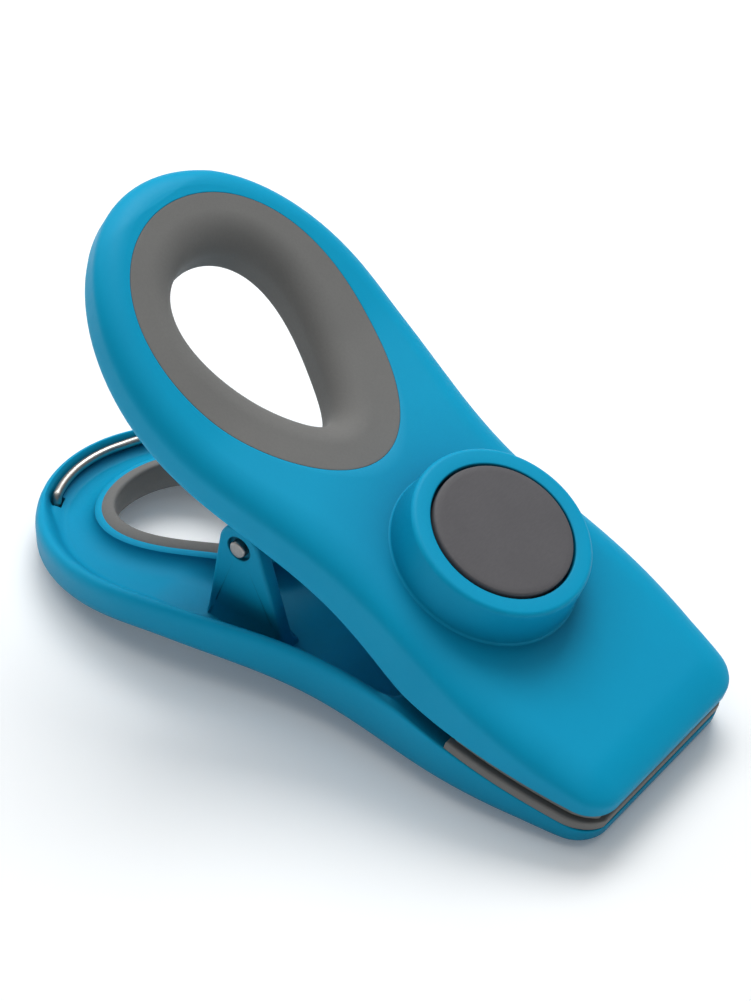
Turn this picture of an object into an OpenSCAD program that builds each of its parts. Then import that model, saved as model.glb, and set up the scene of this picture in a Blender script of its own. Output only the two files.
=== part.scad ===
// Spring bag clip with a magnet: two hinged halves, drawn resting on the lower half.
// +X points out of the jaws, +Z up, and the origin is the middle of the base.

/* [Half outline] */
// Length of one half, nose to tail, along the surface it rests on
half_len = 103.8; // [92:0.2:125]
// Widest part of the handle
handle_w = 46.2; // [44:0.2:56]
// Length of the elliptical tail, from the widest part of the handle
tail_len = 28; // [26:0.5:34]
// Narrowest part, in front of the handle
waist_w = 37.2; // [34:0.2:44]
// Distance of the waist behind the nose
waist_d = 42; // [36:0.5:48]
// Widest part of the jaw
jaw_w = 39.6; // [34:0.2:48]
// Distance of the widest part of the jaw behind the nose
jaw_d = 21.5; // [16:0.5:26]
// Width of the nose, measured to its unrounded corners
nose_w = 33.6; // [28:0.2:40]
// Radius of the nose's corners
corner_r = 5; // [3:0.5:8]

/* [Half profile] */
// Half thickness at the nose, outer face to the closing plane
nose_h = 4.7; // [4:0.1:6]
// Angle between the base and the plane where the halves close
close_angle = 15.3; // [12:0.1:18]
// Height of the bend over the base, before it is rounded
arch_h = 4.6; // [2:0.1:6]
// Distance of the bend behind the nose
bend_d = 69.8; // [62:0.2:76]
// Rounding of the bend
arch_blend = 0.9; // [0.4:0.1:2]
// Length of the flat foot under the nose
foot_nose = 4; // [2:0.5:6]
// Length of the flat foot under the tail
foot_tail = 4; // [2:0.5:6]
// Height of the side wall round the handle
wall_h = 6.9; // [6.6:0.1:9]
// Height that the side wall gains for each millimetre in front of the bend
wall_rise = 0.068; // [0:0.002:0.1]
// Thickness of the side wall
wall_t = 1.8; // [1.6:0.1:3]
// Thickness of the skin in the jaw and waist
skin_t = 3; // [2.4:0.1:4]
// Thickness of the solid floor of the handle, behind the bend
handle_floor = 5.2; // [4:0.1:5.6]

/* [Finger grips] */
// Distance of the soft flange's centre behind the nose
grip_d = 76.4; // [74:0.2:80]
// Distance of the finger hole's centre behind the nose
hole_d = 77.1; // [75:0.1:80]
// Half length of the finger hole
hole_a = 14.4; // [11:0.1:15]
// Half width of the finger hole
hole_b = 8.9; // [8:0.1:11]
// How much wider the hole's tail end is than its front end
hole_egg = 0.37; // [0.1:0.01:0.4]
// Half length of the soft flange
flange_a = 22.3; // [20.5:0.1:23]
// Half width of the soft flange
flange_b = 17.2; // [16:0.1:18]
// How much wider the flange's tail end is than its front end
flange_egg = 0.14; // [0.05:0.01:0.16]
// Thickness of the flange
flange_t = 2.2; // [1.6:0.1:2.6]
// Thickness of the soft sleeve that lines the hole
sleeve_t = 1.5; // [1.2:0.1:2]
// Thickness of the hard collar around the sleeve
collar_t = 1.5; // [1:0.1:2]
// Height of the collar over the outer face
collar_h = 6.4; // [6:0.1:8]
// How far the sleeve's lip stands over the collar
lip_h = 0.5; // [0.2:0.1:1]

/* [Jaw pads] */
// Thickness of a jaw pad
pad_t = 1.4; // [1:0.1:1.8]
// Length of a jaw pad, from the nose
pad_len = 23; // [18:0.5:23]
// Air between each pad and the closing plane
pad_gap = 0.08; // [0.05:0.01:0.15]
// Step between a pad's edge and the edge of its half
pad_step = 0.35; // [0.2:0.05:0.6]
// Number of grooves across each pad
groove_count = 5; // [2:1:6]
// Width of a groove
groove_w = 1.2; // [0.8:0.1:1.6]
// Depth of a groove
groove_depth = 0.5; // [0.3:0.1:0.7]
// Plain border at each end of a groove
groove_border = 3; // [2:0.5:6]

/* [Magnet] */
// Diameter of the magnet
magnet_dia = 20; // [16:0.5:21]
// Thickness of the magnet
magnet_t = 3; // [2:0.5:3.5]
// Thickness of the adhesive under the magnet
glue_t = 0.2; // [0.1:0.05:0.3]
// Air around the magnet in its pocket
magnet_gap = 0.25; // [0.1:0.05:0.4]
// How far the magnet's face stands over the rim
magnet_proud = 0.3; // [0.1:0.05:0.5]
// Thickness of the rim around the pocket
boss_rim = 2.8; // [2:0.1:3.5]
// Height of the magnet boss over the upper half
boss_h = 6.5; // [5:0.1:8]
// Distance of the boss behind the nose, along the outer face
boss_d = 35.2; // [32:0.2:38]
// How much wider the boss is at its foot
boss_draft = 0.5; // [0:0.1:1.5]
// Thickness of the wall under the magnet
boss_floor = 2; // [1.5:0.1:2.4]

/* [Hinge] */
// Distance of the pin behind the nose, along the closing plane
pin_d = 62.4; // [60:0.1:66]
// Diameter of the pin
pin_dia = 2.6; // [2:0.1:3]
// Running clearance of the pin, on the radius
pin_play = 0.06; // [0.02:0.01:0.1]
// How far the pin stands out of the outer lugs
pin_proud = 0.8; // [0.3:0.1:1.2]
// Outer radius of a lug's eye
eye_r = 3.5; // [3:0.1:3.8]
// Thickness of a lug
lug_t = 2.4; // [1.8:0.1:2.8]
// Outer face of the lower lugs, from the centre
lug_y = 15; // [13.4:0.1:15.4]
// Air between an outer lug and the inner lug beside it
lug_gap = 0.3; // [0.15:0.05:0.4]
// How far a lug's foot reaches in front of the pin
lug_front = 8; // [6:0.5:9]
// How far a lug's foot reaches behind the pin
lug_back = 6.4; // [4:0.2:7]
// Radius of the relief around the pin's end
relief_gap = 0.6; // [0.3:0.1:0.8]
// Depth of the relief around the pin's end
relief_depth = 0.7; // [0.4:0.1:1]

/* [Spring] */
// Diameter of the spring wire
wire_dia = 1.4; // [1:0.1:1.6]
// Mean radius of the coil
coil_r = 3.3; // [2.8:0.1:3.6]
// Air between neighbouring turns
turn_gap = 0.08; // [0.05:0.01:0.15]
// Air between the coil and the inner lugs
coil_gap = 0.6; // [0.3:0.1:1]
// Air between the wire and the half that it bears on
wire_gap = 0.05; // [0.02:0.01:0.1]
// Angle round the tail at which each leg ends
leg_end = 21; // [15:1:45]
// Length of the slot that takes the end of a leg
slot_len = 3; // [2.4:0.1:4]
// Depth of that slot
slot_depth = 2.2; // [1.8:0.1:2.6]
// Air on each side of the wire in that slot
slot_gap = 0.2; // [0.1:0.05:0.3]
// Length of the bent end that drops into the slot
bent_len = 1.5; // [1.2:0.1:1.8]
// How far a leg runs on before it turns in to the coil
leg_lead = 5; // [3:0.5:7]
// How far a leg rises as it turns in
leg_rise = 1.5; // [1:0.1:2]
// Straight run of the leg up to the coil
coil_lead = 14; // [10:0.5:16]
// How far that run starts below the coil's foot
coil_dip = 1; // [0.5:0.1:2]

/* [Hidden] */

shell_blue = "#1A93C2";
grip_grey = "#6F6F6D";
reach = 40;                                   // longer than any cut needs
nose_slope = atan(arch_h / (bend_d - foot_nose));
tail_slope = atan(arch_h / (half_len - foot_tail - bend_d));
handle_d = half_len - tail_len;
nose_d = -nose_h * sin(close_angle);          // where the closing plane leaves the nose
nose_z = nose_h * cos(close_angle);
origin_d = (half_len - 2 * nose_h * sin(close_angle)) / 2;
pin_x = -(nose_d + pin_d * cos(close_angle));
pin_z = nose_z + pin_d * sin(close_angle);
pin_r = pin_dia / 2;
wire_r = wire_dia / 2;
inner_lug_y = lug_y - lug_t - lug_gap;
coil_y = inner_lug_y - lug_t - coil_gap - wire_r;
boss_r = magnet_dia / 2 + magnet_gap + boss_rim;
magnet_z = boss_h + magnet_proud - magnet_t;   // underside of the magnet, over the upper half's face
boss_x = -boss_d * cos(nose_slope);
boss_z = (boss_d - foot_nose) * sin(nose_slope);

// ---- outline and profile of a half, in its own frame: nose at x = 0, tail at x = -half_len

function ease(a, b, t) = a + (b - a) * (1 - cos(180 * t)) / 2;

// Half width at a distance d behind the nose: a quarter wave, two half waves and an ellipse.
function side_w(d) =
    d < jaw_d ? nose_w / 2 + (jaw_w - nose_w) / 2 * sin(90 * (d - nose_d) / (jaw_d - nose_d)) :
    d < waist_d ? ease(jaw_w / 2, waist_w / 2, (d - jaw_d) / (waist_d - jaw_d)) :
    d < handle_d ? ease(waist_w / 2, handle_w / 2, (d - waist_d) / (handle_d - waist_d)) :
    handle_w / 2 * sqrt(max(0, 1 - pow((d - handle_d) / tail_len, 2)));

corner_d = nose_d + corner_r;
corner_lean = atan((side_w(corner_d + 0.5) - side_w(corner_d - 0.5)));
side_d0 = corner_d - corner_r * sin(corner_lean);
corner_y = side_w(side_d0) - corner_r * cos(corner_lean);

// One side from the nose's corner to the tail's tip, and then the other side back.
left_side = concat(
    [for (a = [90:-15:corner_lean + 6]) [-(corner_d - corner_r * sin(a)), corner_y + corner_r * cos(a)]],
    [for (i = [0:5]) let (d = side_d0 + (jaw_d - side_d0) * i / 6) [-d, side_w(d)]],
    [for (i = [0:5]) let (d = jaw_d + (waist_d - jaw_d) * i / 6) [-d, side_w(d)]],
    [for (i = [0:9]) let (d = waist_d + (handle_d - waist_d) * i / 10) [-d, side_w(d)]],
    [for (a = [0:7.5:82.5]) [-(handle_d + tail_len * sin(a)), handle_w / 2 * cos(a)]]);
half_outline = concat(left_side, [[-half_len, 0]],
    [for (i = [len(left_side) - 1:-1:0]) [left_side[i].x, -left_side[i].y]]);

// The same outline moved inwards along its normals.
function inset(p, t) = [for (i = [0:len(p) - 1])
    let (v = p[(i + 1) % len(p)] - p[(i + len(p) - 1) % len(p)], u = v / norm(v))
    p[i] - t * [u.y, -u.x]];

// Height of the outer face over the base: two slopes that meet in a rounded bend, ending in flat feet.
function under(d) = let (
    a = (d - foot_nose) * tan(nose_slope),
    b = (foot_d - d) * tan(tail_slope))
    max(0, (a + b - sqrt(pow(a - b, 2) + pow(arch_blend, 2))) / 2);

function seat(d) = (nose_z - (pad_t + pad_gap) / cos(close_angle)) + (d - nose_d) * tan(close_angle);
function wall(d) = wall_h + wall_rise * max(0, bend_d - d);
function rim(d) = min(seat(d), under(d) + wall(d));

seat_nose = seat(0) * pow(cos(close_angle), 2);
// Where the pad's seat runs into the full wall height
seat_end = (wall(0) - seat(0) - foot_nose * tan(nose_slope)) / (tan(close_angle) - tan(nose_slope) + wall_rise);
dish_d = seat_end + wall_t;                   // front of the open dish inside each half
foot_d = half_len - foot_tail;
// Distances behind the nose where the side profile has its points
stations = concat([0, foot_nose, (foot_nose + seat_end) / 2, seat_end], [for (d = [dish_d:8:bend_d - 10]) d],
    [for (d = [bend_d - 8:4:bend_d + 8]) d], [(bend_d + 8 + foot_d) / 2, foot_d, half_len]);
function egg(d, a, b, e) = [for (t = [0:7.5:352.5]) [-d + a * cos(t), b * sin(t) * (1 - e * cos(t))]];
// The finger hole's outline, grown by t.
function hole(t) = egg(hole_d, hole_a + t, hole_b + t, hole_egg);

module plan(points) translate([0, 0, -reach]) linear_extrude(3 * reach) polygon(points);
module side(points) rotate([90, 0, 0]) linear_extrude(2 * reach, center = true) polygon(points);

// Everything between two heights over the outer face, from the station d0 to the station d1.
module layer(lo, hi, d0 = 0, d1 = half_len) {
    ds = [for (d = stations) if (d >= d0 && d <= d1) d];
    side(concat([for (d = ds) [-d, under(d) + lo]],
                [for (i = [len(ds) - 1:-1:0]) [-ds[i], under(ds[i]) + hi]]));
}

module half_body() {
    intersection() {
        plan(half_outline);
        side(concat([for (d = stations) [-d, under(d)]],
                    [for (i = [len(stations) - 1:-1:1]) [-stations[i], rim(stations[i])]],
                    [[seat_nose * tan(close_angle), seat_nose]]));
    }
}

module dish() {
    intersection() {
        plan(inset(half_outline, wall_t));
        union() {
            layer(skin_t, reach, dish_d, bend_d);
            layer(handle_floor, reach, bend_d, half_len);
        }
    }
}

module grip_collar() {
    intersection() {
        plan(hole(sleeve_t + collar_t));
        layer(flange_t, collar_h);
    }
}

module grip_flange() {
    intersection() {
        plan(egg(grip_d, flange_a, flange_b, flange_egg));
        layer(0, flange_t);
    }
}

module grip_sleeve(extra) {
    intersection() {
        plan(hole(sleeve_t));
        layer(0, collar_h + extra);
    }
}

// Points where the tangents from a point p touch a circle at c, on the side given by s (1 or -1).
function touch(p, c, r, s) = let (
    v = p - c,
    a = atan2(v.y, v.x) + s * acos(r / norm(v)))
    c + r * [cos(a), sin(a)];

// A pair of lugs whose outer faces are at y = +-y: an eye on a leaning foot.
module lug_pair(y) {
    foot_z = under(-pin_x) + skin_t / 2;
    front = [pin_x + lug_front, foot_z];
    back = [pin_x - lug_back, foot_z];
    for (s = [-1, 1])
        translate([0, s * (y - lug_t / 2) + lug_t / 2, 0])
            rotate([90, 0, 0])
                linear_extrude(lug_t)
                    polygon([front, touch(front, [pin_x, pin_z], eye_r, 1), [pin_x, pin_z],
                             touch(back, [pin_x, pin_z], eye_r, -1), back]);
    for (s = [-1, 1])
        translate([pin_x, s * (y - lug_t / 2), pin_z])
            rotate([90, 0, 0])
                cylinder(r = eye_r, h = lug_t, center = true, $fn = 64);
}

module pin_bore(r) {
    translate([pin_x, 0, pin_z])
        rotate([90, 0, 0])
            cylinder(r = r, h = 2 * reach, center = true, $fn = 64);
}

module pin_relief() {
    for (s = [-1, 1])
        translate([pin_x, s * (lug_y - relief_depth / 2 + 0.5), pin_z])
            rotate([90, 0, 0])
                cylinder(r = pin_r + relief_gap, h = relief_depth + 1, center = true, $fn = 64);
}

// The slot in the handle's floor that the bent end of a leg drops into.
module leg_slot() {
    end = leg_point(-leg_end);
    ahead = leg_point(-leg_end - 2) - end;
    translate([end.x, end.y, under(-end.x) + handle_floor - slot_depth])
        rotate([0, 0, atan2(ahead.y, ahead.x)])
            translate([-wire_r, -wire_r - slot_gap, 0])
                cube([slot_len, wire_dia + 2 * slot_gap, slot_depth + 1]);
}

module half_shell(y) {
    difference() {
        union() {
            difference() {
                half_body();
                dish();
            }
            grip_collar();
            lug_pair(y);
        }
        grip_flange();
        grip_sleeve(reach);
        leg_slot();
    }
}

module grip_ring() {
    difference() {
        union() {
            grip_flange();
            grip_sleeve(lip_h);
        }
        plan(hole(0));
    }
}

module jaw_pad() {
    pitch = pad_len / (groove_count + 1);
    intersection() {
        plan(inset(half_outline, pad_step));
        translate([-nose_d, 0, nose_z])
            rotate([0, close_angle, 0])
                difference() {
                    translate([-pad_len, -reach, -pad_t - pad_gap])
                        cube([pad_len - pad_step, 2 * reach, pad_t]);
                    for (i = [1:groove_count])
                        translate([-i * pitch - groove_w / 2, groove_border - nose_w / 2, -pad_gap - groove_depth])
                            cube([groove_w, nose_w - 2 * groove_border, groove_depth + 1]);
                }
    }
}

// ---- placing

// Moves a half from its own frame to the part's.
module as_lower() translate([origin_d, 0, 0]) children();

// Turns a half over about the middle line of the closing plane.
module as_upper() {
    as_lower()
        translate([-nose_d, 0, nose_z])
            rotate([0, close_angle, 0])
                rotate([180, 0, 0])
                    rotate([0, -close_angle, 0])
                        translate([nose_d, 0, -nose_z])
                            children();
}

// The boss's frame: origin on the outer face, +Z outwards, in the upper half's own frame.
module on_boss() translate([boss_x, 0, boss_z]) rotate([0, 180 + nose_slope, 0]) children();

// ---- sub-parts

module lower_shell() {
    color(shell_blue) as_lower()
        difference() {
            half_shell(lug_y);
            pin_bore(pin_r);
            pin_relief();
        }
}

module upper_shell() {
    color(shell_blue) as_upper()
        difference() {
            union() {
                half_shell(inner_lug_y);
                on_boss() translate([0, 0, -skin_t]) cylinder(r1 = boss_r + boss_draft, r2 = boss_r,
                                                             h = boss_h + skin_t, $fn = 96);
            }
            pin_bore(pin_r + pin_play);
            on_boss() {
                translate([0, 0, magnet_z - glue_t])
                    cylinder(r = magnet_dia / 2 + magnet_gap, h = reach, $fn = 96);
                translate([0, 0, -reach])
                    cylinder(r = magnet_dia / 2, h = reach + magnet_z - glue_t - boss_floor,
                             $fn = 96);
            }
        }
}

module lower_grip() { color(grip_grey) as_lower() grip_ring(); }

module upper_grip() { color(grip_grey) as_upper() grip_ring(); }

module lower_jaw_pad() { color(grip_grey) as_lower() jaw_pad(); }

module upper_jaw_pad() { color(grip_grey) as_upper() jaw_pad(); }

module magnet() {
    color("#5F6062") as_upper() on_boss()
        translate([0, 0, magnet_z])
            cylinder(d = magnet_dia, h = magnet_t, $fn = 96);
}

module magnet_adhesive() {
    color("#D8D2B0") as_upper() on_boss()
        translate([0, 0, magnet_z - glue_t])
            cylinder(d = magnet_dia, h = glue_t, $fn = 96);
}

module hinge_pin() {
    color("#B9BBBE") as_lower()
        translate([pin_x, 0, pin_z])
            rotate([90, 0, 0])
                cylinder(r = pin_r, h = 2 * (lug_y + pin_proud), center = true, $fn = 64);
}

// ---- the spring: one wire, leg along the lower handle, coil round the pin, leg along the upper handle

leg_inset = wall_t + wire_gap + wire_r;
coil_turns = floor(2 * coil_y / (wire_dia + turn_gap) - (180 - 2 * close_angle) / 360);
coil_sweep = 360 * coil_turns + 180 - 2 * close_angle;

function unit(v) = v / norm(v);
function leg_z(d) = under(d) + handle_floor + wire_gap + wire_r;
function leg_point(b) = let (d = handle_d + (tail_len - leg_inset) * cos(b))
    [-d, (handle_w / 2 - leg_inset) * sin(b), leg_z(d)];
function bezier(p, t) = pow(1 - t, 3) * p[0] + 3 * t * pow(1 - t, 2) * p[1] + 3 * t * t * (1 - t) * p[2]
    + pow(t, 3) * p[3];

leg_tip = leg_point(-leg_end);
leg_run = unit(leg_point(-leg_end - 2) - leg_tip);
coil_foot = [pin_x, coil_y, pin_z - coil_r];
leg_turn = [leg_point(90), leg_point(90) + [leg_lead, 0, leg_rise], coil_foot - [coil_lead, 0, coil_dip], coil_foot];
// From the end in its slot, round the tail and up to the foot of the coil.
lower_leg = concat([leg_tip + bent_len * leg_run - [0, 0, slot_depth - wire_dia],
                    leg_tip + 0.8 * bent_len * leg_run - [0, 0, wire_r / 2]],
    [for (b = [-leg_end:8:88]) leg_point(b)], [for (i = [0:9]) bezier(leg_turn, i / 10)]);
coil = [for (i = [0:coil_turns * 12 + 5]) let (n = coil_turns * 12 + 5, a = -90 + coil_sweep * i / n)
    [pin_x + coil_r * cos(a), coil_y * (1 - 2 * i / n), pin_z + coil_r * sin(a)]];

// A point turned half a turn about the middle line of the closing plane.
function turned(p) = let (
    q = [p.x + nose_d, p.z - nose_z],
    u = [cos(close_angle), -sin(close_angle)],
    r = 2 * (q * u) * u - q)
    [r.x - nose_d, -p.y, r.y + nose_z];

wire_path = concat(lower_leg, coil, [for (i = [len(lower_leg) - 1:-1:0]) turned(lower_leg[i])]);

function tangents(p) = [for (i = [0:len(p) - 1]) unit(p[min(i + 1, len(p) - 1)] - p[max(i - 1, 0)])];

// A tube swept along a path, with a frame that turns as little as it can.
module swept_wire(path, r, sides) {
    t = tangents(path);
    last = len(path) - 1;
    normals = [for (i = 0, n = unit(cross(t[0], [0, 0, 1])); i <= last; i = i + 1,
                    n = i <= last ? unit(n - (n * t[i]) * t[i]) : n) n];
    points = [for (i = [0:last]) let (n = normals[i], b = cross(t[i], n))
        for (k = [0:sides - 1]) let (a = 360 * k / sides) path[i] + r * (cos(a) * n + sin(a) * b)];
    walls = [for (i = [0:last - 1], k = [0:sides - 1]) let (m = (k + 1) % sides)
        [i * sides + k, (i + 1) * sides + k, (i + 1) * sides + m, i * sides + m]];
    polyhedron(points, concat(walls, [[for (k = [0:sides - 1]) k]],
                              [[for (k = [sides - 1:-1:0]) last * sides + k]]));
}

module torsion_spring() { color("#C9CCD0") as_lower() swept_wire(wire_path, wire_r, 8); }

lower_shell();
upper_shell();
lower_grip();
upper_grip();
lower_jaw_pad();
upper_jaw_pad();
magnet();
magnet_adhesive();
hinge_pin();
torsion_spring();
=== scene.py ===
"""The finished look of a magnetic bag clip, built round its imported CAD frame.

Shapes are worked out in millimetres in the frame of one half (nose at x = 0, tail at -x, outer face down)
and are turned into metres in the part's frame when a mesh is made.
"""
import logging
import math
from dataclasses import dataclass, field
from enum import Enum
from typing import Any, Sequence

import bpy
import numpy as np
from mathutils import Euler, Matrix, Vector


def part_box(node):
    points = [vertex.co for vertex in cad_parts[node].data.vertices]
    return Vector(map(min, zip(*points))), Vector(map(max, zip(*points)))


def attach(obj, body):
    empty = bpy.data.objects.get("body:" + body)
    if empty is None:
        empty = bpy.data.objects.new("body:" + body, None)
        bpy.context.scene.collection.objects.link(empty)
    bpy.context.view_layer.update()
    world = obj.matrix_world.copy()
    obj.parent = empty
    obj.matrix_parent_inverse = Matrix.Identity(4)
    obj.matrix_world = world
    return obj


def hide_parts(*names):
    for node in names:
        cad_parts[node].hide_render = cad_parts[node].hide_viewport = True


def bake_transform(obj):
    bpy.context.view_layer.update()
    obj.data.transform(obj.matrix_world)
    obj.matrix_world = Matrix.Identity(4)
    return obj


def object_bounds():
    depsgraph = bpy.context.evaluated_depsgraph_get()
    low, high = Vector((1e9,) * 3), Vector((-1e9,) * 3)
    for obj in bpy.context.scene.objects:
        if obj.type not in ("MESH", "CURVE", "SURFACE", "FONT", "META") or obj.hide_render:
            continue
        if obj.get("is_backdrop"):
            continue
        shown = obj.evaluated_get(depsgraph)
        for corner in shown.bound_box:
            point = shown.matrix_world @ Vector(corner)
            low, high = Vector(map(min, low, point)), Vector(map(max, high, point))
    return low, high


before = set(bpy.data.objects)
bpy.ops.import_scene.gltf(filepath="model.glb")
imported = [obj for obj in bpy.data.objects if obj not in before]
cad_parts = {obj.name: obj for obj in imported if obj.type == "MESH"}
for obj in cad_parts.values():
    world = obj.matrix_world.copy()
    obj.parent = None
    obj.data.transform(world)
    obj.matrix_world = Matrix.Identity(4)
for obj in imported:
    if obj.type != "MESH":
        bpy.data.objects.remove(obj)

Array = np.ndarray
Part = tuple[Array, Array]
Socket = bpy.types.NodeSocket
LOG = logging.getLogger("bag_clip")
MM = 0.001
AXIS_R = 0.001  # radius at which a turned profile closes on its axis, in millimetres


# ---------------------------------------------------------------------------------------------------------
# small helpers
# ---------------------------------------------------------------------------------------------------------

def smooth(x: Array, low: float, high: float) -> Array:
    """Smooth step: 0 before low, 1 after high, and 3t^2 - 2t^3 between them.

    Args:
        x: Values to map.
        low: Where the step starts.
        high: Where the step ends.

    Returns:
        The step's value for each x.
    """
    t = np.clip((np.asarray(x, float) - low) / (high - low), 0.0, 1.0)
    return t * t * (3.0 - 2.0 * t)


def quarter_drop(x: Array, run: Array, drop: Array) -> Array:
    """Drop of a rounded edge: a quarter ellipse, full at x = 0 and nothing past x = run.

    The formula is drop * (1 - sqrt(1 - (1 - x / run)^2)).

    Args:
        x: Distance inside the edge.
        run: How far the rounding reaches inwards.
        drop: How far the edge lies below the face.

    Returns:
        The drop at each x.
    """
    t = np.clip(1.0 - np.asarray(x, float) / run, 0.0, 1.0)
    return drop * (1.0 - np.sqrt(1.0 - t * t))


def outward(curve: Array) -> Array:
    """Unit outward normals of a closed plane curve that runs anticlockwise.

    Args:
        curve: Points, as (n, 2).

    Returns:
        One unit normal a point: the tangent (next point minus last point) turned a quarter clockwise.
    """
    tangent = np.roll(curve, -1, axis=0) - np.roll(curve, 1, axis=0)
    normal = np.stack([tangent[:, 1], -tangent[:, 0]], axis=1)
    return normal / np.linalg.norm(normal, axis=1, keepdims=True)


def offset(curve: Array, distance: float) -> Array:
    """The closed plane curve moved outwards along its normals by distance, or inwards if it is negative."""
    return curve + distance * outward(curve)


def evenly(points: Array, count: int) -> Array:
    """Points at equal steps of length along an open polyline.

    Args:
        points: The polyline, as (n, k).
        count: How many points to give, both ends included.

    Returns:
        The new points, as (count, k).
    """
    steps = np.linalg.norm(np.diff(points, axis=0), axis=1)
    along = np.concatenate([[0.0], np.cumsum(steps)])
    wanted = np.linspace(0.0, along[-1], count)
    return np.stack([np.interp(wanted, along, points[:, k]) for k in range(points.shape[1])], axis=1)


def nearest(points: Array, curve: Array) -> Array:
    """Distance from each plane point to the closed curve, as the shortest distance to its chords."""
    start, end = curve, np.roll(curve, -1, axis=0)
    chord = end - start
    length2 = (chord ** 2).sum(axis=1)
    away = points[:, None, :] - start[None, :, :]
    t = np.clip((away * chord).sum(axis=2) / length2, 0.0, 1.0)
    gap = away - t[..., None] * chord
    return np.sqrt((gap ** 2).sum(axis=2).min(axis=1))


def grid_quads(rows: int, cols: int, wrap_rows: bool, wrap_cols: bool) -> Array:
    """Quads of a grid of points stored row by row, joined end to start along either direction if asked."""
    r = np.arange(rows if wrap_rows else rows - 1)[:, None]
    c = np.arange(cols if wrap_cols else cols - 1)[None, :]
    r1, c1 = (r + 1) % rows, (c + 1) % cols
    corners = [r * cols + c, r * cols + c1, r1 * cols + c1, r1 * cols + c]
    return np.stack([np.broadcast_to(k, (r.size, c.size)).ravel() for k in corners], axis=1)


def facing_out(part: Part) -> Part:
    """The closed part with its faces pointing outwards, which is when its signed volume is positive."""
    points, quads = part
    a, b, c, d = (points[quads[:, k]] for k in range(4))
    volume = (np.cross(b - a, c - a) * a).sum() + (np.cross(c - a, d - a) * a).sum()
    return (points, quads) if volume > 0 else (points, quads[:, ::-1].copy())


def lofted(rows: Sequence[Array] | Array, ring: bool) -> Part:
    """A closed part, from closed curves of equal length that follow each other.

    Args:
        rows: The curves, in order.
        ring: Whether the last curve joins the first again, as round a finger hole.

    Returns:
        The part's points and quads.
    """
    grid = np.stack(rows)
    return facing_out((grid.reshape(-1, 3), grid_quads(grid.shape[0], grid.shape[1], ring, True)))


def revolved(profile: Array, count: int) -> Array:
    """Rows of a surface of revolution about +Z.

    Args:
        profile: Radius and height of each profile point, as (n, 2).
        count: Points round the axis.

    Returns:
        Points (r cos a, r sin a, h), as (n, count, 3).
    """
    a = np.linspace(0.0, 2.0 * math.pi, count, endpoint=False)
    r, h = profile[:, 0:1], profile[:, 1:2]
    return np.stack([r * np.cos(a), r * np.sin(a), np.broadcast_to(h, (len(profile), count))], axis=2)


def arc(centre: tuple[float, float], radius: float, start: float, end: float, count: int) -> Array:
    """Points of a circular arc, from the angle start to the angle end in degrees, as (count, 2)."""
    a = np.radians(np.linspace(start, end, count))
    return np.stack([centre[0] + radius * np.cos(a), centre[1] + radius * np.sin(a)], axis=1)


# ---------------------------------------------------------------------------------------------------------
# the clip's form
# ---------------------------------------------------------------------------------------------------------

class Half(Enum):
    """Which half of the clip a piece belongs to. The value is the body that it rides on."""

    LOWER = "lower"
    UPPER = "upper"


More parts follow.
